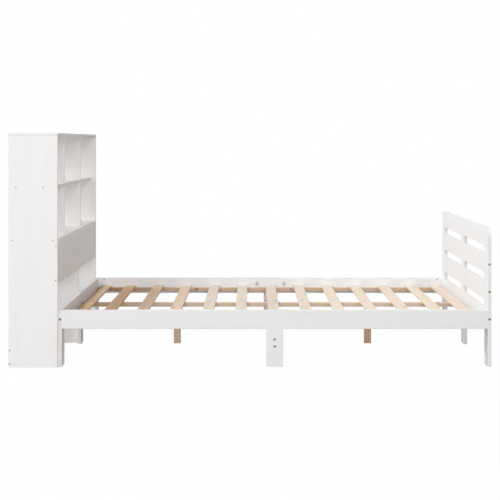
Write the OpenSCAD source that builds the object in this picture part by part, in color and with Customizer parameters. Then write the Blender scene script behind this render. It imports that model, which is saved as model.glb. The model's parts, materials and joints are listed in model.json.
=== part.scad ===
// Double bed frame with a bookcase headboard and a slatted footboard.
// X runs from the head to the foot, Y to the sleeper's left and Z up from the floor.
// The origin lies on the floor, in the middle of the whole frame.

/* [Mattress space] */
// Length of the mattress that the frame takes
mattress_l = 2000; // [1900:10:2100]
// Width of the mattress that the frame takes
mattress_w = 1400; // [1200:10:1600]
// Play beside each edge of the mattress
mattress_play = 9.5; // [4:0.5:20]

/* [Frame boards] */
// Thickness of the painted frame boards
board_t = 18; // [17:0.5:24]
// Height of the painted frame boards
board_h = 90; // [84:1:110]
// Width of the legs and posts of the end frames
post_w = 90; // [80:1:110]
// Width of the legs in the middle of the sides
side_leg_w = 80; // [70:1:100]
// Radius on the long edges of the frame boards
board_ease = 2.5; // [1:0.25:4]
// Radius on the long edges of the side legs, whose joints with the rails hardly show
side_leg_ease = 0.75; // [0.5:0.25:4]
// Height of the lowest boards above the floor
under_rail = 180; // [160:5:240]
// Height of the crossbar between the side legs above the floor
crossbar_z = 80.5; // [60:0.5:90]
// Height of the crossbar itself
crossbar_h = 66; // [60:1:72]

/* [Footboard] */
// Gap between the boards of the footboard
slot_h = 40; // [20:1:60]
// Radius of the upper corners of the footboard
corner_r = 50; // [20:1:80]

/* [Bookcase] */
// Depth of the bookcase
case_d = 234; // [220:1:300]
// Height of the bookcase
case_h = 1108.5; // [1070:0.5:1200]
// Thickness of the sides, lower shelf, dividers and panels
case_t = 16; // [15:0.5:20]
// Thickness of the top
case_top_t = 12; // [11:0.5:18]
// Thickness of the upper shelf
upper_shelf_t = 12; // [11:0.5:18]
// Radius on the long edges of the bookcase boards
case_ease = 1.5; // [0.5:0.25:2.5]
// Radius on the long edges of the top and the upper shelf
thin_ease = 0.5; // [0.5:0.25:2.5]
// Height of the lower shelf's upper face
lower_shelf_z = 607; // [560:1:640]
// Height of the upper shelf's upper face
upper_shelf_z = 857; // [820:1:900]
// Set-back of the upper shelf and the dividers from the front
shelf_recess = 30; // [10:1:50]
// Clear width of each outer compartment
outer_bay_w = 424; // [350:1:480]
// Height of the front panel under the lower shelf
front_panel_h = 198; // [120:1:240]
// Height of the brace along the foot of the back
brace_h = 96; // [80:1:140]

/* [Slatted base] */
// Width of a slat
slat_w = 57; // [45:1:70]
// Thickness of a slat
slat_t = 12; // [11:0.5:15]
// Spacing of the inner slats from middle to middle
slat_pitch = 164; // [150:1:168]
// Gap between an end frame and the slat beside it
end_slat_gap = 19; // [10:1:24]
// Depth of the slats' upper face below the rails' upper edge
slat_drop = 44; // [40:1:46]
// Gap between the two halves of a slat
slat_joint = 1; // [0.5:0.25:3]
// Gap between a slat's end and the rail
slat_play = 2; // [0.5:0.25:4]
// Radius on the long edges of slats, battens, beam and its legs
pine_ease = 1.5; // [0.5:0.25:2.5]
// Width of the battens on the rails
batten_w = 20; // [18:1:30]
// Height of the battens on the rails
batten_h = 20; // [20:1:24]
// Width of the mid beam
beam_w = 40; // [36:1:60]
// Height of the mid beam
beam_h = 20; // [20:1:28]
// Gap at each end of the mid beam and the battens
beam_play = 0.5; // [0.3:0.1:0.9]
// Side of the square legs under the mid beam
mid_leg_w = 36; // [30:1:44]
// Distance from an end frame to the middle of the beam's leg
mid_leg_inset = 505; // [400:5:600]
// Length of the blocks that carry the ends of the mid beam
block_l = 80; // [70:1:90]
// Depth and height of these blocks
block_w = 20; // [18:1:22]

/* [Bolts and nuts] */
// Diameter of the bolts and threaded rods
bolt_d = 6; // [5:0.5:8]
// Diameter of the bolt heads
bolt_head_d = 12; // [11:0.5:14]
// Height of the bolt heads
bolt_head_h = 4; // [3:0.5:5]
// Depth of a bolt head's seat in the board
bolt_recess = 6; // [5.5:0.5:8]
// Size of the hexagon socket in a head, across its corners
socket_d = 4.6; // [3:0.1:5]
// Bite of the long screws in the ends of the boards
end_bite = 50; // [35:1:70]
// Distance from a rail's edges to the bolts at its end
corner_edge = 11; // [10:0.5:14]
// Spacing of the two bolts in each side leg
cross_bolt_gap = 33; // [28:1:36]
// Diameter of the barrel nuts
barrel_d = 10; // [10:0.5:11]
// Length of the barrel nuts
barrel_l = 12; // [10:0.5:13]
// Distance from a board's end to its barrel nut
barrel_inset = 33; // [28:1:40]
// Length of bolt past the middle of its barrel nut
past_barrel = 8; // [7:0.5:12]
// Length of threaded rod past its hexagon nut
past_nut = 3; // [2:0.5:6]
// Diameter of the round pockets for crescent nuts
pocket_d = 26; // [24:0.5:30]
// Distance from a board's end to the middle of the pocket
pocket_inset = 40; // [34:1:50]
// Height of the pocket's middle above a rail's lower edge
pocket_rise = 52; // [50:1:56]
// Wall between the pocket and the board's outer face
pocket_floor = 3; // [2:0.25:3]
// Thickness of a crescent nut
crescent_t = 6; // [5:0.5:7]
// Thickness of the hexagon nuts
nut_h = 5; // [4:0.5:6]
// Size of the hexagon nuts across their corners
nut_d = 11.5; // [10:0.1:11.7]
// Clearance on all sides of a fastener
fit_gap = 0.15; // [0.1:0.05:0.25]

/* [Screws and dowels] */
// Diameter of the connector screws
screw_d = 6; // [5:0.5:6.5]
// Diameter of the connector screws' heads
screw_head_d = 9; // [8:0.5:10]
// Height of the connector screws' heads
screw_head_h = 2.5; // [2:0.25:3]
// Length of the connector screws
screw_l = 50; // [44:1:60]
// Diameter of the slat screws
slat_screw_d = 4; // [3:0.5:5]
// Diameter of the slat screws' countersunk heads
slat_screw_head_d = 8; // [7:0.5:9]
// Height of the slat screws' countersunk heads
slat_screw_head_h = 2.4; // [2:0.2:3]
// Length of the slat screws
slat_screw_l = 30; // [27:0.5:30]
// Distance from a slat's end to its screw
slat_screw_inset = 10; // [8:0.5:12]
// Distance between the screws and the ends of the blocks
block_screw_inset = 15; // [10:1:20]
// Distance from the upper shelf's edges to its screws
upper_screw_inset = 37; // [25:1:50]
// Distance from the lower shelf's edges to its screws
lower_screw_inset = 21; // [18:1:50]
// Distance from the front panel's edges to its screws
panel_screw_inset = 18; // [14:0.5:30]
// Distance from the brace's edges to its screws
brace_screw_inset = 16; // [12:0.5:25]
// Height of the lower screw between the head frame and the bookcase
link_screw_z = 60; // [40:1:80]
// Spacing of this screw and the one above it
link_screw_gap = 80; // [40:1:90]
// Diameter of the dowels
dowel_d = 8; // [6:0.5:8]
// Length of the dowels in the bed's frame
dowel_l = 40; // [30:1:44]
// Spacing of the two dowels in a board's end
dowel_gap = 56; // [50:1:62]
// Height of the dowel in a rail's inner end above its lower edge
rail_dowel_rise = 22; // [18:1:26]
// Depth of a bookcase dowel in the shelf or top
shelf_dowel = 7; // [5:0.5:7]
// Depth of a bookcase dowel in the upright board
upright_dowel = 17; // [12:0.5:24]
// Distance from a shelf's edges to the dowels
case_dowel_inset = 52; // [46:1:60]
// Distance from the front panel's ends to its dowels
panel_dowel_inset = 120; // [60:5:240]

/* [Hidden] */
$fn = 32;
// Overlap of a cut with the open side of its board
cut = 1;
paint = "whitesmoke";
pine = "burlywood";
beech = "tan";
dark_steel = "dimgray";
zinc = "silver";

right = -1;
left = 1;
head = -1;
foot = 1;
sides = [right, left];
ends = [head, foot];

foot_rows = 3;

inner_l = mattress_l + 2 * mattress_play;
inner_w = mattress_w + 2 * mattress_play;
bed_l = inner_l + 2 * board_t;
rail_in_y = inner_w / 2;
side_y = rail_in_y + board_t;
rail_mid_y = side_y - board_t / 2;
case_side_mid_y = side_y + case_t / 2;

rear_x = -(case_d + bed_l) / 2;
head_x = rear_x + case_d;
head_mid_x = head_x + board_t / 2;
head_in_x = head_x + board_t;
foot_in_x = head_in_x + inner_l;
foot_mid_x = foot_in_x + board_t / 2;
foot_x = foot_in_x + board_t;
mid_x = (head_in_x + foot_in_x) / 2;

post_in_y = side_y - post_w;
post_mid_y = side_y - post_w / 2;
rail_top = under_rail + board_h;
post_top = row_z(foot_rows);
half_rail_l = (inner_l - side_leg_w) / 2;
half_board_l = post_in_y - post_w / 2;

// The inner slats leave at least a slat's width free beside each end slat
inner_slat_inset = end_slat_gap + 2.5 * slat_w;
slat_count = 3 + floor((inner_l - 2 * inner_slat_inset) / slat_pitch);
slat_z = rail_top - slat_drop - slat_t;
slat_top = slat_z + slat_t;
slat_end_y = rail_in_y - slat_play;
slat_outer_screw_y = slat_end_y - slat_screw_inset;
slat_inner_screw_y = slat_joint / 2 + slat_screw_inset;
beam_z = slat_z - beam_h;
block_z = beam_z - block_w;

case_top_z = case_h - case_top_t;
upper_d = case_d - shelf_recess;
front_panel_z = lower_shelf_z - case_t - front_panel_h;
divider_y = side_y - outer_bay_w - case_t / 2;

corner_bolt_l = board_t - bolt_recess + barrel_inset + past_barrel;
end_screw_l = post_w - bolt_recess + end_bite;
pocket_depth = board_t - pocket_floor;
crescent_h = 2 * (pocket_depth - board_t / 2 - fit_gap);
crescent_x = pocket_d / 2 - crescent_t;
rod_reach = pocket_inset - crescent_x + fit_gap + nut_h + past_nut;
rail_rod_l = side_leg_w + 2 * rod_reach;
head_rod_l = post_w + 2 * rod_reach;
dowel_xs = [rear_x + case_dowel_inset, rear_x + upper_d - case_dowel_inset];
dowel_shift = 2 * dowel_d;
corner_zs = [under_rail + corner_edge, rail_top - corner_edge];
cross_zs = [for (s = [-1, 1]) crossbar_z + crossbar_h / 2 + s * cross_bolt_gap / 2];

// Lower edge of a row of end-frame boards, with row 0 at the rails' height
function row_z(row) = under_rail + row * (board_h + slot_h);
function row_mid(row) = row_z(row) + board_h / 2;

function slat_name(i) = str("slat_", i < 10 ? "0" : "", i);

// The end slats keep to the end frames, the others to the middle of the bed
function slat_x(i) =
    i == 1 ? head_in_x + end_slat_gap + slat_w / 2 :
    i == slat_count ? foot_in_x - end_slat_gap - slat_w / 2 :
    mid_x + (i - (slat_count + 1) / 2) * slat_pitch;

function mid_leg_x(end) = end == head ? head_in_x + mid_leg_inset : foot_in_x - mid_leg_inset;

// Screws of a bookcase side, as distance from the back and height
side_screw_spots = [
    [upper_screw_inset, upper_shelf_z - upper_shelf_t / 2],
    [upper_d - upper_screw_inset, upper_shelf_z - upper_shelf_t / 2],
    [lower_screw_inset, lower_shelf_z - case_t / 2],
    [case_d - lower_screw_inset, lower_shelf_z - case_t / 2],
    [case_d - case_t / 2, front_panel_z + front_panel_h - panel_screw_inset],
    [case_d - case_t / 2, front_panel_z + panel_screw_inset],
    [case_t / 2, brace_h - brace_screw_inset],
    [case_t / 2, brace_screw_inset]
];

module on_side(side) {
    if (side < 0)
        mirror([0, 1, 0]) children();
    else
        children();
}

// Cross-section of a planed board with round edges
module eased_section(w, h, ease) {
    translate([ease, 0]) square([w - 2 * ease, h]);
    translate([0, ease]) square([w, h - 2 * ease]);
    for (x = [ease, w - ease], y = [ease, h - ease])
        translate([x, y]) circle(ease);
}

// A board from the origin to size, with the edges along its grain eased
module board(size, grain, ease) {
    if (grain == "x")
        rotate([90, 0, 90]) linear_extrude(size.x) eased_section(size.y, size.z, ease);
    if (grain == "y")
        translate([0, size.y, 0]) rotate([90, 0, 0])
            linear_extrude(size.y) eased_section(size.x, size.z, ease);
    if (grain == "z")
        linear_extrude(size.z) eased_section(size.x, size.y, ease);
}

// Fasteners stand along Z with the head up. A bolt's seat is at 0, a screw's upper face is at 0.

module bolt(shank) {
    difference() {
        union() {
            cylinder(h = bolt_head_h, d = bolt_head_d);
            translate([0, 0, -shank]) cylinder(h = shank, d = bolt_d);
        }
        translate([0, 0, bolt_head_h / 2]) cylinder(h = bolt_head_h, d = socket_d, $fn = 6);
    }
}

module bolt_hole(shank) {
    cylinder(h = bolt_recess + cut, d = bolt_head_d + 2 * fit_gap);
    translate([0, 0, -shank - fit_gap]) cylinder(h = shank + cut, d = bolt_d + 2 * fit_gap);
}

module rod(length) {
    cylinder(h = length, d = bolt_d, center = true);
}

module rod_hole(length) {
    cylinder(h = length, d = bolt_d + 2 * fit_gap, center = true);
}

// A barrel nut across its bolt, its axis along Z and the bolt's along X
module barrel_nut() {
    difference() {
        cylinder(h = barrel_l, d = barrel_d, center = true);
        rotate([0, 90, 0]) rod_hole(2 * barrel_d);
    }
}

// The hole for it is open upwards, and the bolt runs half a board below the opening
module barrel_hole() {
    translate([0, 0, -barrel_l / 2 - fit_gap])
        cylinder(h = barrel_l / 2 + fit_gap + board_t / 2 + cut, d = barrel_d + 2 * fit_gap);
}

// Crescent and hexagon nut in a round pocket that is open upwards, with the joint towards -X
module crescent_set() {
    difference() {
        intersection() {
            cylinder(h = crescent_h, d = pocket_d - 2 * fit_gap, center = true);
            translate([-pocket_d, -pocket_d, -crescent_h])
                cube([pocket_d - crescent_x, 2 * pocket_d, 2 * crescent_h]);
        }
        rotate([0, 90, 0]) rod_hole(2 * pocket_d);
    }
    translate([fit_gap - crescent_x, 0, 0]) rotate([0, 90, 0]) rotate([0, 0, 30])
        difference() {
            cylinder(h = nut_h, d = nut_d, $fn = 6);
            rod_hole(3 * nut_h);
        }
}

module pocket_hole() {
    translate([0, 0, board_t / 2 - pocket_depth]) cylinder(h = pocket_depth + cut, d = pocket_d);
}

module connector_screw() {
    difference() {
        union() {
            translate([0, 0, -screw_head_h]) cylinder(h = screw_head_h, d = screw_head_d);
            translate([0, 0, -screw_l]) cylinder(h = screw_l, d = screw_d);
        }
        translate([0, 0, -screw_head_h / 2 - cut])
            cylinder(h = screw_head_h, d = socket_d, $fn = 6);
    }
}

module connector_hole() {
    translate([0, 0, -screw_head_h]) cylinder(h = screw_head_h + cut, d = screw_head_d + 2 * fit_gap);
    translate([0, 0, -screw_l - fit_gap]) cylinder(h = screw_l, d = screw_d + 2 * fit_gap);
}

module slat_screw() {
    translate([0, 0, -slat_screw_head_h])
        cylinder(h = slat_screw_head_h, d1 = slat_screw_d, d2 = slat_screw_head_d);
    translate([0, 0, -slat_screw_l])
        cylinder(h = slat_screw_l - slat_screw_head_h, d = slat_screw_d);
}

module slat_screw_hole() {
    translate([0, 0, -slat_screw_head_h])
        cylinder(h = slat_screw_head_h, d1 = slat_screw_d + 2 * fit_gap, d2 = slat_screw_head_d + 2 * fit_gap);
    translate([0, 0, -slat_screw_l - fit_gap])
        cylinder(h = slat_screw_l, d = slat_screw_d + 2 * fit_gap);
}

module dowel(length, gap = 0) {
    cylinder(h = length + 2 * gap, d = dowel_d + 2 * gap, center = true);
}

// Places of the fasteners, used for the fasteners and for their holes

// Through the edge of a corner post into the end of a row's board
module at_end_screw(side, x, row) {
    translate([x, side * (side_y - bolt_recess), row_mid(row)])
        rotate([-90 * side, 0, 0]) children();
}

// Through an end frame into the end of a rail
module at_corner_bolts(side, end) {
    x = end == head ? head_x + bolt_recess : foot_x - bolt_recess;
    for (z = corner_zs)
        translate([x, side * rail_mid_y, z]) rotate([0, 90 * end, 0]) children();
}

module at_corner_barrels(side, end) {
    x = end == head ? head_in_x + barrel_inset : foot_in_x - barrel_inset;
    for (z = corner_zs)
        translate([x, side * rail_mid_y, z]) rotate([90 * side, 0, 0]) children();
}

// Through a side leg into the end of the crossbar
module at_cross_bolts(side) {
    for (z = cross_zs)
        translate([mid_x, side * (side_y - bolt_recess), z]) rotate([-90 * side, 0, 0]) children();
}

module at_cross_barrels(side) {
    for (z = cross_zs)
        translate([mid_x, side * (rail_in_y - barrel_inset), z])
            rotate([0, 90, 0]) rotate([0, 0, 90]) children();
}

module at_rail_rod(side) {
    translate([mid_x, side * rail_mid_y, under_rail + pocket_rise]) rotate([0, 90, 0]) children();
}

module at_rail_pocket(side, end) {
    translate([mid_x, 0, under_rail + pocket_rise])
        on_side(side)
            translate([end * (side_leg_w / 2 + pocket_inset), rail_mid_y, 0])
                rotate([90, 0, 0]) rotate([0, 0, end == foot ? 0 : 180]) children();
}

module at_head_rod() {
    translate([head_mid_x, 0, row_mid(0)]) rotate([90, 0, 0]) children();
}

module at_head_pocket(side) {
    on_side(side)
        translate([head_mid_x, post_w / 2 + pocket_inset, row_mid(0)])
            rotate([90, 0, 90]) children();
}

// In the joint between a post and a row's board
module at_row_dowels(side, x, row, joint_y) {
    for (s = [-1, 1])
        translate([x, side * joint_y, row_mid(row) + s * dowel_gap / 2])
            rotate([90, 0, 0]) children();
}

module at_post_top_dowels(y) {
    for (s = [-1, 1])
        translate([foot_mid_x, y + s * dowel_gap / 2, post_top]) children();
}

module at_rail_dowel(side, end) {
    translate([mid_x + end * side_leg_w / 2, side * rail_mid_y, under_rail + rail_dowel_rise])
        rotate([0, 90, 0]) children();
}

module at_side_screws(side, spots = side_screw_spots) {
    for (spot = spots)
        translate([rear_x + spot[0], side * (side_y + case_t), spot[1]])
            rotate([-90 * side, 0, 0]) children();
}

// Through the brace into the middle panel
module at_brace_screws() {
    for (z = [brace_screw_inset, brace_h - brace_screw_inset])
        translate([rear_x, 0, z]) rotate([0, -90, 0]) children();
}

// Through the middle leg of the head frame into the middle panel
module at_link_screws() {
    for (z = [link_screw_z, link_screw_z + link_screw_gap])
        translate([head_in_x, 0, z]) rotate([0, 90, 0]) children();
}

module at_mid_leg_screw(end) {
    translate([mid_leg_x(end), 0, slat_z]) children();
}

module at_slat_screws(side, i) {
    for (y = [slat_inner_screw_y, slat_outer_screw_y])
        translate([slat_x(i), side * y, slat_top]) children();
}

module at_block_screws(end) {
    x = end == head ? head_in_x + block_w : foot_in_x - block_w;
    for (side = sides)
        translate([x, side * (block_l / 2 - block_screw_inset), block_z + block_w / 2])
            rotate([0, -90 * end, 0]) children();
}

// Dowels of the bookcase: joint height z, with the shelf above it for up = true or below it
module at_case_dowels(xs, y, z, up) {
    shift = up ? (upright_dowel - shelf_dowel) / 2 : (shelf_dowel - upright_dowel) / 2;
    for (x = xs)
        translate([x, y, z - shift]) children();
}

module case_dowel(gap = 0) {
    dowel(shelf_dowel + upright_dowel, gap);
}

module at_side_top_dowels(side) {
    at_case_dowels(dowel_xs, side * case_side_mid_y, case_top_z, true) children();
}

module at_divider_top_dowels(side) {
    at_case_dowels(dowel_xs, side * divider_y, case_top_z, true) children();
}

module at_divider_foot_dowels(side) {
    at_case_dowels(dowel_xs, side * divider_y, upper_shelf_z, false) children();
}

module at_lower_divider_top_dowels(side) {
    xs = [for (x = dowel_xs) x + dowel_shift];
    at_case_dowels(xs, side * divider_y, upper_shelf_z - upper_shelf_t, true) children();
}

module at_lower_divider_foot_dowels(side) {
    at_case_dowels(dowel_xs, side * divider_y, lower_shelf_z, false) children();
}

module at_middle_panel_dowels() {
    at_case_dowels(dowel_xs, 0, lower_shelf_z - case_t, true) children();
}

module at_front_panel_dowels() {
    for (side = sides)
        at_case_dowels([head_x - case_t / 2], side * (side_y - panel_dowel_inset),
                       lower_shelf_z - case_t, true) children();
}

// Bookcase

module bookcase_side(side) {
    color(paint) difference() {
        on_side(side) translate([rear_x, side_y, 0])
            board([case_d, case_t, case_top_z], "z", case_ease);
        at_side_screws(side) connector_hole();
        at_side_top_dowels(side) case_dowel(fit_gap);
    }
}

module bookcase_top() {
    width = 2 * (side_y + case_t);
    color(paint) difference() {
        translate([rear_x, -width / 2, case_top_z]) board([case_d, width, case_top_t], "y", thin_ease);
        for (side = sides) {
            at_side_top_dowels(side) case_dowel(fit_gap);
            at_divider_top_dowels(side) case_dowel(fit_gap);
        }
    }
}

module upper_shelf() {
    color(paint) difference() {
        translate([rear_x, -side_y, upper_shelf_z - upper_shelf_t])
            board([upper_d, 2 * side_y, upper_shelf_t], "y", thin_ease);
        for (side = sides) {
            at_side_screws(side) connector_hole();
            at_divider_foot_dowels(side) case_dowel(fit_gap);
            at_lower_divider_top_dowels(side) case_dowel(fit_gap);
        }
    }
}

module lower_shelf() {
    color(paint) difference() {
        translate([rear_x, -side_y, lower_shelf_z - case_t])
            board([case_d, 2 * side_y, case_t], "y", case_ease);
        for (side = sides) {
            at_side_screws(side) connector_hole();
            at_lower_divider_foot_dowels(side) case_dowel(fit_gap);
        }
        at_middle_panel_dowels() case_dowel(fit_gap);
        at_front_panel_dowels() case_dowel(fit_gap);
    }
}

module upper_divider(side) {
    color(paint) difference() {
        translate([rear_x, side * divider_y - case_t / 2, upper_shelf_z])
            board([upper_d, case_t, case_top_z - upper_shelf_z], "z", case_ease);
        at_divider_top_dowels(side) case_dowel(fit_gap);
        at_divider_foot_dowels(side) case_dowel(fit_gap);
    }
}

module lower_divider(side) {
    height = upper_shelf_z - upper_shelf_t - lower_shelf_z;
    color(paint) difference() {
        translate([rear_x, side * divider_y - case_t / 2, lower_shelf_z])
            board([upper_d, case_t, height], "z", case_ease);
        at_lower_divider_top_dowels(side) case_dowel(fit_gap);
        at_lower_divider_foot_dowels(side) case_dowel(fit_gap);
    }
}

module front_panel() {
    color(paint) difference() {
        translate([head_x - case_t, -side_y, front_panel_z])
            board([case_t, 2 * side_y, front_panel_h], "y", case_ease);
        for (side = sides)
            at_side_screws(side) connector_hole();
        at_front_panel_dowels() case_dowel(fit_gap);
    }
}

// Upright board on the floor, cut back for the front panel and the rear brace
module middle_panel() {
    color(paint) difference() {
        translate([rear_x, -case_t / 2, 0])
            board([case_d, case_t, lower_shelf_z - case_t], "z", case_ease);
        translate([head_x - case_t, -case_t, front_panel_z])
            cube([case_t + cut, 2 * case_t, front_panel_h + cut]);
        translate([rear_x - cut, -case_t, -cut])
            cube([case_t + cut, 2 * case_t, brace_h + cut]);
        at_middle_panel_dowels() case_dowel(fit_gap);
        at_brace_screws() connector_hole();
        at_link_screws() connector_hole();
    }
}

module rear_brace() {
    color(paint) difference() {
        translate([rear_x, -side_y, 0]) board([case_t, 2 * side_y, brace_h], "y", case_ease);
        for (side = sides)
            at_side_screws(side) connector_hole();
        at_brace_screws() connector_hole();
    }
}

// Head frame

module head_leg(side) {
    color(paint) difference() {
        on_side(side) translate([head_x, post_in_y, 0])
            board([board_t, post_w, rail_top], "z", board_ease);
        at_end_screw(side, head_mid_x, 0) bolt_hole(end_screw_l);
        at_row_dowels(side, head_mid_x, 0, post_in_y) dowel(dowel_l, fit_gap);
        at_corner_bolts(side, head) bolt_hole(corner_bolt_l);
    }
}

module head_leg_middle() {
    color(paint) difference() {
        translate([head_x, -post_w / 2, 0]) board([board_t, post_w, rail_top], "z", board_ease);
        for (side = sides)
            at_row_dowels(side, head_mid_x, 0, post_w / 2) dowel(dowel_l, fit_gap);
        at_head_rod() rod_hole(head_rod_l);
        at_link_screws() connector_hole();
        at_block_screws(head) slat_screw_hole();
    }
}

module head_board(side) {
    color(paint) difference() {
        on_side(side) translate([head_x, post_w / 2, under_rail])
            board([board_t, half_board_l, board_h], "y", board_ease);
        at_end_screw(side, head_mid_x, 0) bolt_hole(end_screw_l);
        at_row_dowels(side, head_mid_x, 0, post_in_y) dowel(dowel_l, fit_gap);
        at_row_dowels(side, head_mid_x, 0, post_w / 2) dowel(dowel_l, fit_gap);
        at_head_rod() rod_hole(head_rod_l);
        at_head_pocket(side) pocket_hole();
    }
}

// Footboard

module foot_post(side) {
    color(paint) difference() {
        on_side(side) translate([foot_in_x, post_in_y, 0])
            board([board_t, post_w, post_top], "z", board_ease);
        for (row = [0 : foot_rows - 1]) {
            at_end_screw(side, foot_mid_x, row) bolt_hole(end_screw_l);
            at_row_dowels(side, foot_mid_x, row, post_in_y) dowel(dowel_l, fit_gap);
        }
        at_corner_bolts(side, foot) bolt_hole(corner_bolt_l);
        at_post_top_dowels(side * post_mid_y) dowel(dowel_l, fit_gap);
    }
}

module foot_post_middle() {
    color(paint) difference() {
        translate([foot_in_x, -post_w / 2, 0]) board([board_t, post_w, post_top], "z", board_ease);
        for (row = [0 : foot_rows - 1], side = sides)
            at_row_dowels(side, foot_mid_x, row, post_w / 2) dowel(dowel_l, fit_gap);
        at_post_top_dowels(0) dowel(dowel_l, fit_gap);
        at_block_screws(foot) slat_screw_hole();
    }
}

module foot_board(row, side) {
    color(paint) difference() {
        on_side(side) translate([foot_in_x, post_w / 2, row_z(row)])
            board([board_t, half_board_l, board_h], "y", board_ease);
        at_end_screw(side, foot_mid_x, row) bolt_hole(end_screw_l);
        for (joint_y = [post_in_y, post_w / 2])
            at_row_dowels(side, foot_mid_x, row, joint_y) dowel(dowel_l, fit_gap);
    }
}

module foot_top_board() {
    color(paint) difference() {
        intersection() {
            translate([foot_in_x, -side_y, post_top]) board([board_t, 2 * side_y, board_h], "y", board_ease);
            translate([foot_in_x - cut, 0, post_top]) rotate([90, 0, 90])
                linear_extrude(board_t + 2 * cut) round_top(2 * side_y, board_h);
        }
        for (y = [-post_mid_y, 0, post_mid_y])
            at_post_top_dowels(y) dowel(dowel_l, fit_gap);
    }
}

// Outline of a board on its lower edge, with its upper corners rounded
module round_top(width, height) {
    translate([-width / 2, 0]) square([width, height - corner_r]);
    translate([corner_r - width / 2, 0]) square([width - 2 * corner_r, height]);
    for (side = sides)
        translate([side * (width / 2 - corner_r), height - corner_r]) circle(corner_r, $fn = 64);
}

// Sides

module rail(side, end) {
    x = end == head ? head_in_x : foot_in_x - half_rail_l;
    color(paint) difference() {
        on_side(side) translate([x, rail_in_y, under_rail])
            board([half_rail_l, board_t, board_h], "x", board_ease);
        at_corner_bolts(side, end) bolt_hole(corner_bolt_l);
        at_corner_barrels(side, end) barrel_hole();
        at_rail_rod(side) rod_hole(rail_rod_l);
        at_rail_pocket(side, end) pocket_hole();
        at_rail_dowel(side, end) dowel(dowel_l, fit_gap);
    }
}

module side_leg(side) {
    color(paint) difference() {
        on_side(side) translate([mid_x - side_leg_w / 2, rail_in_y, 0])
            board([side_leg_w, board_t, rail_top], "z", side_leg_ease);
        at_cross_bolts(side) bolt_hole(corner_bolt_l);
        at_rail_rod(side) rod_hole(rail_rod_l);
        for (end = ends)
            at_rail_dowel(side, end) dowel(dowel_l, fit_gap);
    }
}

module crossbar() {
    color(pine) difference() {
        translate([mid_x - board_t / 2, -rail_in_y, crossbar_z])
            board([board_t, inner_w, crossbar_h], "y", pine_ease);
        for (side = sides) {
            at_cross_bolts(side) bolt_hole(corner_bolt_l);
            at_cross_barrels(side) barrel_hole();
        }
    }
}

// Slatted base

module batten(side) {
    color(pine) difference() {
        on_side(side) translate([head_in_x + beam_play, rail_in_y - batten_w, slat_z - batten_h])
            board([inner_l - 2 * beam_play, batten_w, batten_h], "x", pine_ease);
        for (i = [1 : slat_count])
            at_slat_screws(side, i) slat_screw_hole();
    }
}

module mid_beam() {
    color(pine) difference() {
        translate([head_in_x + beam_play, -beam_w / 2, beam_z])
            board([inner_l - 2 * beam_play, beam_w, beam_h], "x", pine_ease);
        for (i = [1 : slat_count], side = sides)
            at_slat_screws(side, i) slat_screw_hole();
        for (end = ends)
            at_mid_leg_screw(end) connector_hole();
    }
}

module mid_leg(end) {
    color(pine) difference() {
        translate([mid_leg_x(end) - mid_leg_w / 2, -mid_leg_w / 2, 0])
            board([mid_leg_w, mid_leg_w, beam_z], "z", pine_ease);
        at_mid_leg_screw(end) connector_hole();
    }
}

module beam_block(end) {
    x = end == head ? head_in_x : foot_in_x - block_w;
    color(pine) difference() {
        translate([x, -block_l / 2, block_z]) board([block_w, block_l, block_w], "y", pine_ease);
        at_block_screws(end) slat_screw_hole();
    }
}

// A slat in two halves that meet on the mid beam
module slat(i) {
    color(pine) for (side = sides)
        difference() {
            on_side(side) translate([slat_x(i) - slat_w / 2, slat_joint / 2, slat_z])
                board([slat_w, slat_end_y - slat_joint / 2, slat_t], "y", pine_ease);
            at_slat_screws(side, i) slat_screw_hole();
        }
}

// Fasteners

module frame_bolts() {
    color(dark_steel) {
        for (side = sides) {
            at_end_screw(side, head_mid_x, 0) bolt(end_screw_l);
            for (row = [0 : foot_rows - 1])
                at_end_screw(side, foot_mid_x, row) bolt(end_screw_l);
            for (end = ends)
                at_corner_bolts(side, end) bolt(corner_bolt_l);
            at_cross_bolts(side) bolt(corner_bolt_l);
            at_rail_rod(side) rod(rail_rod_l);
        }
        at_head_rod() rod(head_rod_l);
    }
}

module barrel_nuts() {
    color(zinc) for (side = sides) {
        for (end = ends)
            at_corner_barrels(side, end) barrel_nut();
        at_cross_barrels(side) barrel_nut();
    }
}

module crescent_nuts() {
    color(zinc) for (side = sides) {
        for (end = ends)
            at_rail_pocket(side, end) crescent_set();
        at_head_pocket(side) crescent_set();
    }
}

module connector_screws() {
    color(zinc) {
        for (side = sides)
            at_side_screws(side) connector_screw();
        at_brace_screws() connector_screw();
        at_link_screws() connector_screw();
        for (end = ends)
            at_mid_leg_screw(end) connector_screw();
    }
}

module slat_screws() {
    color(zinc) {
        for (side = sides, i = [1 : slat_count])
            at_slat_screws(side, i) slat_screw();
        for (end = ends)
            at_block_screws(end) slat_screw();
    }
}

module dowels() {
    color(beech) {
        for (side = sides) {
            for (joint_y = [post_in_y, post_w / 2]) {
                at_row_dowels(side, head_mid_x, 0, joint_y) dowel(dowel_l);
                for (row = [0 : foot_rows - 1])
                    at_row_dowels(side, foot_mid_x, row, joint_y) dowel(dowel_l);
            }
            for (end = ends)
                at_rail_dowel(side, end) dowel(dowel_l);
            at_side_top_dowels(side) case_dowel();
            at_divider_top_dowels(side) case_dowel();
            at_divider_foot_dowels(side) case_dowel();
            at_lower_divider_top_dowels(side) case_dowel();
            at_lower_divider_foot_dowels(side) case_dowel();
        }
        at_middle_panel_dowels() case_dowel();
        at_front_panel_dowels() case_dowel();
        for (y = [-post_mid_y, 0, post_mid_y])
            at_post_top_dowels(y) dowel(dowel_l);
    }
}

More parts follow.
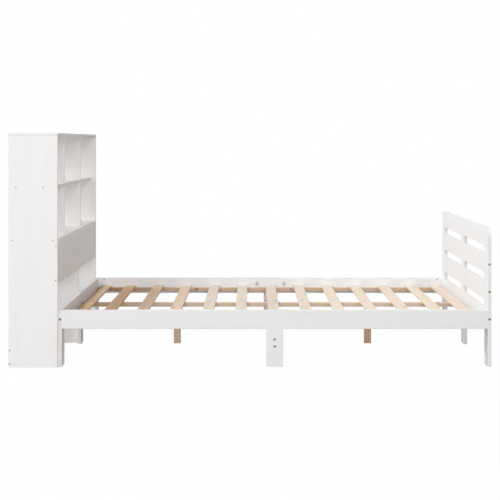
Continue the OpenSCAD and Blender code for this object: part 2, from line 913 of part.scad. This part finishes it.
bookcase_side(right);  // bookcase_side_right
bookcase_side(left);  // bookcase_side_left
bookcase_top();
upper_shelf();
lower_shelf();
upper_divider(right);  // upper_divider_right
upper_divider(left);  // upper_divider_left
lower_divider(right);  // lower_divider_right
lower_divider(left);  // lower_divider_left
front_panel();
middle_panel();
rear_brace();
head_leg(right);  // head_leg_right
head_leg_middle();
head_leg(left);  // head_leg_left
head_board(right);  // head_board_right
head_board(left);  // head_board_left
foot_post(right);  // foot_post_right
foot_post_middle();
foot_post(left);  // foot_post_left
foot_top_board();
foot_board(0, right);  // foot_board_1_right
foot_board(0, left);  // foot_board_1_left
foot_board(1, right);  // foot_board_2_right
foot_board(1, left);  // foot_board_2_left
foot_board(2, right);  // foot_board_3_right
foot_board(2, left);  // foot_board_3_left
rail(right, head);  // rail_right_head
rail(right, foot);  // rail_right_foot
rail(left, head);  // rail_left_head
rail(left, foot);  // rail_left_foot
side_leg(right);  // side_leg_right
side_leg(left);  // side_leg_left
crossbar();
batten(right);  // batten_right
batten(left);  // batten_left
mid_beam();
mid_leg(head);  // mid_leg_head
mid_leg(foot);  // mid_leg_foot
beam_block(head);  // beam_block_head
beam_block(foot);  // beam_block_foot
for (i = [1 : slat_count])
    slat(i);
frame_bolts();
barrel_nuts();
crescent_nuts();
connector_screws();
slat_screws();
dowels();
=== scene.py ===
import json
import math

import bpy
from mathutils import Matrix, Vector


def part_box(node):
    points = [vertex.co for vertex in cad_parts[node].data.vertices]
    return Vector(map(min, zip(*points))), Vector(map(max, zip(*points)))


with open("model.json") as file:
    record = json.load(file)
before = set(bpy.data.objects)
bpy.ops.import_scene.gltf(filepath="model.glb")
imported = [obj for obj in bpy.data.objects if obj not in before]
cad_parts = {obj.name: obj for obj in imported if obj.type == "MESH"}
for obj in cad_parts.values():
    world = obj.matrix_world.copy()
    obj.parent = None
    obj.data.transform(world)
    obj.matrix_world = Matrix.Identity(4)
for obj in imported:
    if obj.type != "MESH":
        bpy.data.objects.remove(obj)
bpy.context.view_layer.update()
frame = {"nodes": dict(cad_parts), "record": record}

# Lengths and places are in metres of the frame, and colours are linear.

# Nodes whose grain runs along X or Z. All other wooden nodes run along Y.
ALONG_X = ("rail_", "batten_", "mid_beam")
ALONG_Z = (
    "bookcase_side", "upper_divider", "lower_divider", "middle_panel",
    "head_leg", "foot_post", "side_leg", "mid_leg",
)
# Nodes whose boards are glued up from strips
GLUED = ("bookcase_", "upper_", "lower_", "front_panel", "middle_panel", "rear_brace")
STRIP_WIDTH = 0.078
# The wood's first seed, and how far apart those of nodes, strips and half slats are
FIRST_SEED, NODE_SEED, STRIP_SEED, HALF_SEED = 1.7, 2.3, 0.37, 0.61

# Pine: its pale and warm wood, its dark rings, and the brown of some slats and other pieces, which on the
# slats near the bookcase is partly painted shade
PINE_LIGHT, PINE_WARM, PINE_LATE = (0.86, 0.77, 0.665), (0.81, 0.68, 0.55), (0.60, 0.41, 0.25)
SLAT_BROWN_AND_SHADE, FRAME_BROWN = (0.80, 0.49, 0.26), (0.64, 0.37, 0.18)
DARKER_SPAN_COLOUR = (0.36, 0.18, 0.085)
KNOT_COLOUR, RIM_COLOUR, PLACED_KNOT_COLOUR = (0.27, 0.12, 0.05), (0.16, 0.07, 0.03), (0.33, 0.12, 0.045)
# How brown each piece of pine is, from 0 to 1. On slats 1 to 4 the brown is partly their wood and partly
# painted shade of the bookcase, stronger nearer to it. The others are pale.
BROWN_AND_SHADE = {
    "slat_01": 0.7, "slat_02": 0.8, "slat_03": 0.55, "slat_04": 0.28,
    "batten_left": 0.6, "batten_right": 0.6,
    "mid_beam": 0.45, "mid_leg_foot": 0.8, "mid_leg_head": 0.35,
}
PALE = 0.04
# Where pieces are darker: how much, and the X at which it starts to fade and ends. On slat_01 it is the
# painted shadow of the head board, on the battens and the mid beam painted shade of the bookcase at the head
# end, and mid_leg_foot is darker all over.
DARKER_SPANS = {
    "slat_01": (0.85, -0.868, -0.852),
    "batten_left": (0.9, -0.78, -0.40),
    "batten_right": (0.9, -0.78, -0.40),
    "mid_beam": (0.6, -0.80, -0.50),
    "mid_leg_foot": (0.32, 0.70, 0.80),
}
# Two large knots in the left batten's face: their X and how strong they are
PLACED_KNOTS = {"batten_left": ((-0.316, 0.85), (0.236, 0.35))}
# Their radius, the share of it that is fully dark, and how uneven their edge is
KNOT_RADIUS, KNOT_CORE, KNOT_UNEVEN = 0.011, 0.6, 0.006
# The share of the cells of the wood that hold a knot
PINE_KNOTS, PAINT_KNOTS = 0.42, 0.3

# The paint's white, and the lighter or darker whites of some boards, which are painted light and shade:
# lighter on the far rail, the bookcase sides and the lower shelf, darker on the boards of the foot end
WHITE = (0.845, 0.825, 0.82)
PAINTED_LIGHT_AND_SHADE_WHITES = {
    "foot_": (0.82, 0.815, 0.815),
    "rail_left": (0.88, 0.875, 0.88),
    "bookcase_side": (0.87, 0.85, 0.845),
    "lower_shelf": (0.89, 0.87, 0.865),
}
# The paint over dense grain and over knots
PAINT_GREY, PAINT_WARM = (0.755, 0.73, 0.72), (0.78, 0.73, 0.68)
# Boards whose thin front edges are greyer, which is painted shade, that grey and how deep it goes
SHADE_EDGED_BOARDS = ("bookcase_top", "upper_shelf")
EDGE_SHADE_GREY, EDGE_SHADE_DEPTH = (0.68, 0.655, 0.645), 0.0006
# The thin line that shows at the joint under the bookcase's top
JOINT_COLOUR, JOINT_LINE = (0.34, 0.33, 0.32), 0.0012

# Each lamp's name, place, aim, width and height, power in watts and colour
COOL_WHITE, COOLER_WHITE = (0.96, 0.985, 1.0), (0.94, 0.98, 1.0)
LAMPS = (
    ("high_near", (-4.6, -5.0, 7.0), (0, 0, 0.3), (2.5, 2.5), 255, COOL_WHITE),
    ("high_far", (-3.6, 2.2, 6.9), (0, 0, 0.3), (2.2, 2.2), 195, COOL_WHITE),
    ("front", (0.5, -9.5, 1.9), (0, 0, 0.4), (6.0, 3.0), 315, COOLER_WHITE),
    ("front_right", (2.4, -10.6, 5.3), (0.2, 0, 0.3), (3.2, 2.0), 145, COOL_WHITE),
    ("back", (-7.0, -0.7, 5.8), (-0.6, 0, 0.3), (1.4, 1.4), 300, COOL_WHITE),
    ("back_low", (-8.0, -1.5, 3.2), (0, 0, 0.3), (2.5, 2.5), 95, COOL_WHITE),
    ("foot", (7.0, 0.2, 0.6), (1.1, 0.1, 0.4), (1.4, 0.9), 85, COOL_WHITE),
)
PLAIN_WHITE = (1.0, 1.0, 1.0)
# The backdrop's light on the bed
WORLD_COLOUR, WORLD_STRENGTH = (1.0, 0.935, 0.90), 0.28
# The floor as the camera sees it near the bed, and as it lights the bed from below
FLOOR_PALE, FLOOR_SPECK, FLOOR_BOUNCE = (0.80, 0.80, 0.79), (0.77, 0.77, 0.76), (0.40, 0.39, 0.38)


class Tree:
    """A node tree whose inputs are given as numbers, colours or other nodes' outputs."""

    def __init__(self, tree):
        self.nodes, self.links = tree.nodes, tree.links

    def feed(self, socket, value):
        if isinstance(value, bpy.types.NodeSocket):
            self.links.new(value, socket)
        elif isinstance(value, tuple) and len(value) == 3 and socket.type == "RGBA":
            socket.default_value = (*value, 1)
        else:
            socket.default_value = value

    def add(self, kind, inputs=None, **settings):
        node = self.nodes.new(kind)
        for name, value in settings.items():
            setattr(node, name, value)
        for name, value in (inputs or {}).items():
            self.feed(node.inputs[name], value)
        return node

    def calc(self, operation, a, b=0.0, c=0.0):
        node = self.add("ShaderNodeMath", {0: a, 1: b, 2: c}, operation=operation)
        return node.outputs[0]

    def vector(self, x, y, z):
        return self.add("ShaderNodeCombineXYZ", {0: x, 1: y, 2: z}).outputs[0]

    def calc_vector(self, operation, a, b):
        return self.add("ShaderNodeVectorMath", {0: a, 1: b}, operation=operation).outputs[0]

    def length(self, vector):
        return self.add("ShaderNodeVectorMath", {0: vector}, operation="LENGTH").outputs["Value"]

    def separate(self, colour):
        return self.add("ShaderNodeSeparateColor", {"Color": colour}).outputs

    def noise(self, vector, scale=1.0, detail=2.0, roughness=0.5):
        inputs = {"Vector": vector, "Scale": scale, "Detail": detail, "Roughness": roughness}
        return self.add("ShaderNodeTexNoise", inputs).outputs

    def spread(self, value, start, end, at_start=0.0, at_end=1.0):
        """Turns softly from at_start to at_end while the value goes from start to end."""
        inputs = {"Value": value, "From Min": start, "From Max": end, "To Min": at_start, "To Max": at_end}
        return self.add("ShaderNodeMapRange", inputs, interpolation_type="SMOOTHSTEP").outputs[0]

    def mix(self, factor, a, b):
        node = self.add("ShaderNodeMix", data_type="RGBA")
        for socket, value in zip((node.inputs[0], node.inputs[6], node.inputs[7]), (factor, a, b)):
            self.feed(socket, value)
        return node.outputs[2]

    def ramp(self, value, stops):
        node = self.add("ShaderNodeValToRGB", {"Fac": value})
        elements = node.color_ramp.elements
        while len(elements) < len(stops):
            elements.new(0.5)
        for element, (place, level) in zip(elements, stops):
            element.position = place
            element.color = (level, level, level, 1)
        return node.outputs["Color"]

    def emboss(self, shader, height, strength, distance):
        bump = self.add("ShaderNodeBump", {"Strength": strength, "Distance": distance, "Height": height})
        self.feed(shader.inputs["Normal"], bump.outputs[0])

    def looked_at(self):
        """1 for camera, glossy and transmission rays, and 0 for those that light the bed."""
        rays = self.add("ShaderNodeLightPath").outputs
        seen = self.calc("MAXIMUM", rays["Is Camera Ray"], rays["Is Glossy Ray"])
        return self.calc("MAXIMUM", seen, rays["Is Transmission Ray"])


def start_material(name):
    """A new material, its tree and its shader."""
    material = bpy.data.materials.new(name)
    material.use_nodes = True
    return material, Tree(material.node_tree), material.node_tree.nodes["Principled BSDF"]


def make_wood_field():
    """The group that says what a point of a board is: its place in a year ring, knots, fibres and tone."""
    group = bpy.data.node_groups.new("wood_field", "ShaderNodeTree")
    for name in ("Across", "Through", "Along", "Seed", "Knots"):
        group.interface.new_socket(name, in_out="INPUT", socket_type="NodeSocketFloat")
    for name in ("Ring", "Knot", "Rim", "Fibre", "Tone"):
        group.interface.new_socket(name, in_out="OUTPUT", socket_type="NodeSocketFloat")
    t = Tree(group)
    given = t.add("NodeGroupInput").outputs
    across, through, along, seed = (given[n] for n in ("Across", "Through", "Along", "Seed"))

    # Each piece has its own stretch of wood, and its pith lies beside the board
    seed_along, pith_reach, pith_depth, pith_depth_range = 3.7, 0.10, 0.022, 0.07
    far_along = t.calc("MULTIPLY_ADD", seed, seed_along, along)
    chance = t.separate(t.add("ShaderNodeTexWhiteNoise", {"W": seed}, noise_dimensions="1D").outputs["Color"])
    pith_across = t.calc("MULTIPLY_ADD", chance[0], pith_reach, -pith_reach / 2)
    pith_through = t.calc("MULTIPLY_ADD", chance[1], pith_depth_range, pith_depth)

    # The pith wanders along the board
    wander_width, wander_scale, wander_stretch = 0.05, 4.0, 0.35
    place = t.vector(across, through, t.calc("MULTIPLY", far_along, wander_stretch))
    wander = t.separate(t.noise(place, scale=wander_scale)["Color"])
    wander_x, wander_y = (t.calc("MULTIPLY_ADD", wander[i], wander_width, -wander_width / 2) for i in (0, 1))
    x = t.calc("ADD", t.calc("SUBTRACT", across, pith_across), wander_x)
    y = t.calc("ADD", t.calc("ADD", through, pith_through), wander_y)
    radius = t.length(t.vector(x, y, 0.0))

    # Knots, one at most in each cell of a long grid
    cell, cell_seeds = (0.085, 0.36), (5.13, 9.31)
    smallest_knot, knot_range = 0.0035, 0.006
    place = t.vector(
        t.calc("MULTIPLY_ADD", across, 1 / cell[0], t.calc("MULTIPLY", seed, cell_seeds[0])),
        t.calc("MULTIPLY_ADD", along, 1 / cell[1], t.calc("MULTIPLY", seed, cell_seeds[1])),
        0.0,
    )
    knots = t.add("ShaderNodeTexVoronoi", {"Vector": place, "Scale": 1.0}, voronoi_dimensions="2D").outputs
    apart = t.calc_vector("SUBTRACT", place, knots["Position"])
    apart = t.length(t.calc_vector("MULTIPLY", apart, (*cell, 0.0)))
    fate = t.separate(knots["Color"])
    there = t.calc("LESS_THAN", fate[0], given["Knots"])
    knot_radius = t.calc("MULTIPLY_ADD", fate[1], knot_range, smallest_knot)
    reach = t.calc("DIVIDE", apart, knot_radius)
    knot = t.calc("MULTIPLY", t.spread(reach, start=1.1, end=0.85), there)
    off_rim = t.calc("ABSOLUTE", t.calc("SUBTRACT", reach, 1.0))
    rim = t.calc("MULTIPLY", t.spread(off_rim, start=0.35, end=0.0), there)
    # Rings bend around a knot
    bend = t.calc("MULTIPLY", t.spread(apart, start=0.045, end=0.0, at_end=0.011), there)

    # Year rings, a few millimetres apart, and closer ones inside a knot
    thinnest_ring, ring_range, knot_ring = 0.0024, 0.0022, 0.0011
    uneven_stretch, uneven_scale, uneven_turns = 0.1, 60.0, 1.6
    ring_width = t.calc("MULTIPLY_ADD", chance[2], ring_range, thinnest_ring)
    turns = t.calc("DIVIDE", t.calc("ADD", radius, bend), ring_width)
    place = t.vector(radius, seed, t.calc("MULTIPLY", far_along, uneven_stretch))
    uneven = t.noise(place, scale=uneven_scale, detail=1.0)
    turns = t.calc("MULTIPLY_ADD", uneven[0], uneven_turns, turns)
    more_turns = t.calc("SUBTRACT", t.calc("DIVIDE", apart, knot_ring), turns)
    turns = t.calc("MULTIPLY_ADD", more_turns, t.calc("GREATER_THAN", knot, 0.5), turns)
    # Pale early wood, then dark late wood with a sharp end
    ring_stops = ((0.0, 0.12), (0.12, 0.0), (0.55, 0.22), (0.86, 1.0), (1.0, 0.12))
    ring = t.ramp(t.calc("FRACT", turns), ring_stops)

    # Fibres and slow changes of tone: how fast they change across, through and along
    fibre_scales, tone_scales = (1300.0, 1300.0, 16.0), (22.0, 9.0, 1.7)
    directions = (across, through, far_along)
    fine, slow = (
        t.vector(*(t.calc("MULTIPLY", way, scale) for way, scale in zip(directions, scales)))
        for scales in (fibre_scales, tone_scales)
    )
    fibre = t.noise(fine, detail=3.0, roughness=0.65)[0]
    tone = t.noise(slow, detail=3.0)[0]
    t.add("NodeGroupOutput", {"Ring": ring, "Knot": knot, "Rim": rim, "Fibre": fibre, "Tone": tone})
    return group


def coordinates(t):
    """The three object coordinates of a point, which are those of the frame."""
    point = t.add("ShaderNodeTexCoord").outputs["Object"]
    return t.add("ShaderNodeSeparateXYZ", {0: point}).outputs


def board_place(t, node):
    """(across, through, along, seed) of a point of a wooden node, in metres from the board's middle."""
    grain = 0 if node.startswith(ALONG_X) else 2 if node.startswith(ALONG_Z) else 1
    low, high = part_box(node)
    size, middle = high - low, (high + low) / 2
    wide, thin = sorted((axis for axis in range(3) if axis != grain), key=lambda axis: -size[axis])
    point = coordinates(t)
    across, through, along = (t.calc("SUBTRACT", point[axis], middle[axis]) for axis in (wide, thin, grain))
    seed = FIRST_SEED + NODE_SEED * sorted(frame["nodes"]).index(node)
    if node.startswith(GLUED):
        strips = max(1, round(size[wide] / STRIP_WIDTH))
        strip = t.calc("FLOOR", t.calc("MULTIPLY_ADD", across, strips / size[wide], strips / 2))
        seed = t.calc("MULTIPLY_ADD", strip, STRIP_SEED, seed)
    elif node.startswith("slat_"):
        seed = t.calc("MULTIPLY_ADD", t.calc("GREATER_THAN", along, 0.0), HALF_SEED, seed)
    return across, through, along, seed


def start_wood(node, finish, knots):
    """A new material for one wooden node, its tree, its shader and the outputs of the wood field."""
    material, t, shader = start_material(f"{finish}_{node}")
    across, through, along, seed = board_place(t, node)
    inputs = {"Across": across, "Through": through, "Along": along, "Seed": seed, "Knots": knots}
    field = t.add("ShaderNodeGroup", node_tree=wood_field)
    for name, value in inputs.items():
        t.feed(field.inputs[name], value)
    return material, t, shader, field.outputs


def add_placed_knots(t, node, tone, colour):
    """Mixes in the knots that have a known place in the middle of a node's face."""
    low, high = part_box(node)
    point = coordinates(t)
    for x, strength in PLACED_KNOTS.get(node, ()):
        up = t.calc("SUBTRACT", point[2], (low.z + high.z) / 2)
        apart = t.length(t.vector(t.calc("SUBTRACT", point[0], x), 0.0, up))
        apart = t.calc("MULTIPLY_ADD", tone, KNOT_UNEVEN, t.calc("SUBTRACT", apart, KNOT_UNEVEN / 2))
        spot = t.spread(apart, start=KNOT_RADIUS, end=KNOT_CORE * KNOT_RADIUS, at_end=strength)
        colour = t.mix(spot, colour, PLACED_KNOT_COLOUR)
    return colour


def pine(node):
    """Bare planed pine: rings, fibres, knots and a tone of its own for each piece, with painted shadow and
    shade on the slats, battens and mid beam near the bookcase.
    """
    ring_share, fibre_share, rim_share, ring_height = 0.3, 0.2, 0.7, 0.5
    material, t, shader, wood = start_wood(node, "pine", PINE_KNOTS)
    brown_and_shade = SLAT_BROWN_AND_SHADE if node.startswith("slat_") else FRAME_BROWN
    colour = t.mix(t.spread(wood["Tone"], start=0.3, end=0.75), PINE_LIGHT, PINE_WARM)
    # On slats 1 to 4 this brown is partly painted shade of the bookcase
    colour = t.mix(BROWN_AND_SHADE.get(node, PALE), colour, brown_and_shade)
    # Painted shadow on slat_01 and painted shade on the battens and mid beam at the head end; mid_leg_foot is
    # darker all over
    if node in DARKER_SPANS:
        amount, start, end = DARKER_SPANS[node]
        darker_span = t.spread(coordinates(t)[0], start, end, at_start=amount, at_end=0.0)
        colour = t.mix(darker_span, colour, DARKER_SPAN_COLOUR)
    colour = t.mix(t.calc("MULTIPLY", wood["Ring"], ring_share), colour, PINE_LATE)
    colour = t.mix(t.spread(wood["Fibre"], start=0.35, end=0.8, at_end=fibre_share), colour, PINE_LATE)
    colour = add_placed_knots(t, node, wood["Tone"], colour)
    colour = t.mix(wood["Knot"], colour, KNOT_COLOUR)
    colour = t.mix(t.calc("MULTIPLY", wood["Rim"], rim_share), colour, RIM_COLOUR)
    t.feed(shader.inputs["Base Color"], colour)
    rough = t.spread(wood["Fibre"], start=0.2, end=0.8, at_start=0.58, at_end=0.74)
    t.feed(shader.inputs["Roughness"], rough)
    height = t.calc("MULTIPLY_ADD", wood["Ring"], ring_height, wood["Fibre"])
    t.emboss(shader, height, strength=0.35, distance=0.0003)
    return material


def paint(node):
    """Satin white paint on pine: the grain shows through as faint relief, and knots as faint warm spots; some
    boards carry painted light and shade in their white and on their front edges.
    """
    tone_share, ring_share, fibre_share, knot_share = 0.22, 0.16, 0.2, 0.35
    ring_height, fibre_height = 0.8, 0.5
    material, t, shader, wood = start_wood(node, "paint", PAINT_KNOTS)
    # Some boards get a lighter or darker white, which is painted light and shade
    white = next((coat for start, coat in PAINTED_LIGHT_AND_SHADE_WHITES.items() if node.startswith(start)), WHITE)
    colour = t.mix(t.spread(wood["Tone"], start=0.3, end=0.8, at_end=tone_share), white, PAINT_GREY)
    colour = t.mix(t.calc("MULTIPLY", wood["Ring"], ring_share), colour, PAINT_GREY)
    colour = t.mix(t.spread(wood["Fibre"], start=0.45, end=0.8, at_end=fibre_share), colour, PAINT_GREY)
    colour = t.mix(t.calc("MULTIPLY", wood["Knot"], knot_share), colour, PAINT_WARM)
    # Painted shade on the thin front edge
    if node in SHADE_EDGED_BOARDS:
        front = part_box(node)[1].x
        edge_shade = t.spread(coordinates(t)[0], start=front - 2 * EDGE_SHADE_DEPTH, end=front - EDGE_SHADE_DEPTH)
        colour = t.mix(edge_shade, colour, EDGE_SHADE_GREY)
    if node.startswith("bookcase_side"):
        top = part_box(node)[1].z
        near_top = t.spread(coordinates(t)[2], start=top - JOINT_LINE, end=top - JOINT_LINE / 2)
        colour = t.mix(near_top, colour, JOINT_COLOUR)
    t.feed(shader.inputs["Base Color"], colour)
    rough = t.spread(wood["Fibre"], start=0.2, end=0.8, at_start=0.46, at_end=0.56)
    t.feed(shader.inputs["Roughness"], rough)
    shader.inputs["Specular IOR Level"].default_value = 0.3
    height = t.calc("MULTIPLY", wood["Fibre"], fibre_height)
    height = t.calc("MULTIPLY_ADD", wood["Ring"], ring_height, height)
    t.emboss(shader, height, strength=0.25, distance=0.0002)
    return material


def metal(name, colour, worn, roughness):
    """Plated steel with a slightly uneven coat."""
    roughness_range = 0.15
    material, t, shader = start_material(name)
    point = t.add("ShaderNodeTexCoord").outputs["Object"]
    cloud = t.noise(point, scale=350.0, detail=4.0, roughness=0.6)[0]
    t.feed(shader.inputs["Base Color"], t.mix(t.spread(cloud, start=0.35, end=0.75), colour, worn))
    rough = t.spread(cloud, start=0.2, end=0.8, at_start=roughness, at_end=roughness + roughness_range)
    t.feed(shader.inputs["Roughness"], rough)
    shader.inputs["Metallic"].default_value = 1.0
    grit = t.noise(point, scale=2500.0)[0]
    t.emboss(shader, grit, strength=0.2, distance=0.0001)
    return material


def beech():
    """Turned beech of the dowels: pale with short dark flecks."""
    light, warm, fleck = (0.62, 0.40, 0.22), (0.54, 0.33, 0.17), (0.33, 0.17, 0.08)
    material, t, shader = start_material("beech")
    point = t.add("ShaderNodeTexCoord").outputs["Object"]
    flecks = t.noise(point, scale=900.0, detail=3.0)[0]
    cloud = t.noise(point, scale=30.0)[0]
    colour = t.mix(t.spread(cloud, start=0.3, end=0.7), light, warm)
    colour = t.mix(t.spread(flecks, start=0.6, end=0.7, at_end=0.5), colour, fleck)
    t.feed(shader.inputs["Base Color"], colour)
    shader.inputs["Roughness"].default_value = 0.6
    return material


def dress_nodes():
    """Gives each node its material: boards one of their own, fasteners that of their kind."""
    shared = {
        "beech": beech(),
        "crescent_nuts": metal("bright_zinc", (0.55, 0.55, 0.56), (0.47, 0.47, 0.48), 0.4),
        "dark_steel": metal("dark_steel", (0.13, 0.13, 0.14), (0.22, 0.215, 0.21), 0.4),
        "zinc_steel": metal("zinc_steel", (0.40, 0.40, 0.415), (0.30, 0.30, 0.315), 0.35),
    }
    boards = {"white_paint": paint, "bare_pine": pine}
    slots = {part["node"]: part["material_slot"] for part in frame["record"]["subparts"]}
    for node, thing in frame["nodes"].items():
        slot = slots[node]
        material = boards[slot](node) if slot in boards else shared.get(node, shared[slot])
        thing.data.materials.clear()
        thing.data.materials.append(material)


def add_lamp(name, place, aim, size, power, colour):
    """A soft area lamp that looks at a point."""
    data = bpy.data.lights.new(name, "AREA")
    data.shape, data.size, data.size_y = "RECTANGLE", *size
    data.energy, data.color = power, colour
    thing = bpy.data.objects.new(name, data)
    thing.location = place
    thing.rotation_euler = (Vector(aim) - Vector(place)).to_track_quat("-Z", "Y").to_euler()
    bpy.context.scene.collection.objects.link(thing)


def make_backdrop():
    """A backdrop that looks white and lights the bed softly."""
    world = bpy.data.worlds.new("studio")
    bpy.context.scene.world = world
    world.use_nodes = True
    t = Tree(world.node_tree)
    t.nodes.clear()
    soft = t.add("ShaderNodeBackground", {"Color": WORLD_COLOUR, "Strength": WORLD_STRENGTH})
    white = t.add("ShaderNodeBackground", {"Color": PLAIN_WHITE, "Strength": 1.0})
    both = t.add("ShaderNodeMixShader", {0: t.looked_at(), 1: soft.outputs[0], 2: white.outputs[0]})
    t.add("ShaderNodeOutputWorld", {"Surface": both.outputs[0]})


def make_floor():
    """A pale floor that looks as white as the backdrop and keeps a faint shadow near the bed."""
    radius, steps, height = 30.0, 64, -0.0005
    angles = [i * math.tau / steps for i in range(steps)]
    rim = [(radius * math.cos(angle), radius * math.sin(angle), height) for angle in angles]
    mesh = bpy.data.meshes.new("floor")
    mesh.from_pydata(rim, [], [tuple(range(steps))])
    floor = bpy.data.objects.new("floor", mesh)
    bpy.context.scene.collection.objects.link(floor)
    material, t, _ = start_material("floor")
    t.nodes.clear()
    point = t.add("ShaderNodeNewGeometry").outputs["Position"]
    plain = t.spread(t.length(point), start=1.6, end=4.0, at_start=0.98, at_end=1.0)
    speckle = t.noise(point, scale=40.0, detail=4.0)[0]
    pale = t.mix(t.spread(speckle, start=0.3, end=0.7), FLOOR_PALE, FLOOR_SPECK)
    matt = t.add("ShaderNodeBsdfDiffuse", {"Color": pale})
    dim = t.add("ShaderNodeBsdfDiffuse", {"Color": FLOOR_BOUNCE})
    white = t.add("ShaderNodeEmission", {"Color": PLAIN_WHITE, "Strength": 1.0})
    face = t.add("ShaderNodeMixShader", {0: plain, 1: matt.outputs[0], 2: white.outputs[0]})
    both = t.add("ShaderNodeMixShader", {0: t.looked_at(), 1: dim.outputs[0], 2: face.outputs[0]})
    t.add("ShaderNodeOutputMaterial", {"Surface": both.outputs[0]})
    mesh.materials.append(material)


def place_camera():
    """Stands level in front of the bed's right side, as high as the bookcase, and looks along Y."""
    data = bpy.data.cameras.new("camera")
    data.lens, data.sensor_width = 92.0, 36.0
    data.shift_x, data.shift_y = -0.006, -0.217
    camera = bpy.data.objects.new("camera", data)
    camera.location = (0.014, -6.7835, 1.0685)
    camera.rotation_euler = (math.radians(90), 0, 0)
    bpy.context.scene.collection.objects.link(camera)
    bpy.context.scene.camera = camera


wood_field = make_wood_field()
dress_nodes()
make_floor()
for lamp in LAMPS:
    add_lamp(*lamp)
make_backdrop()
place_camera()
bpy.context.scene.view_settings.view_transform = "Standard"
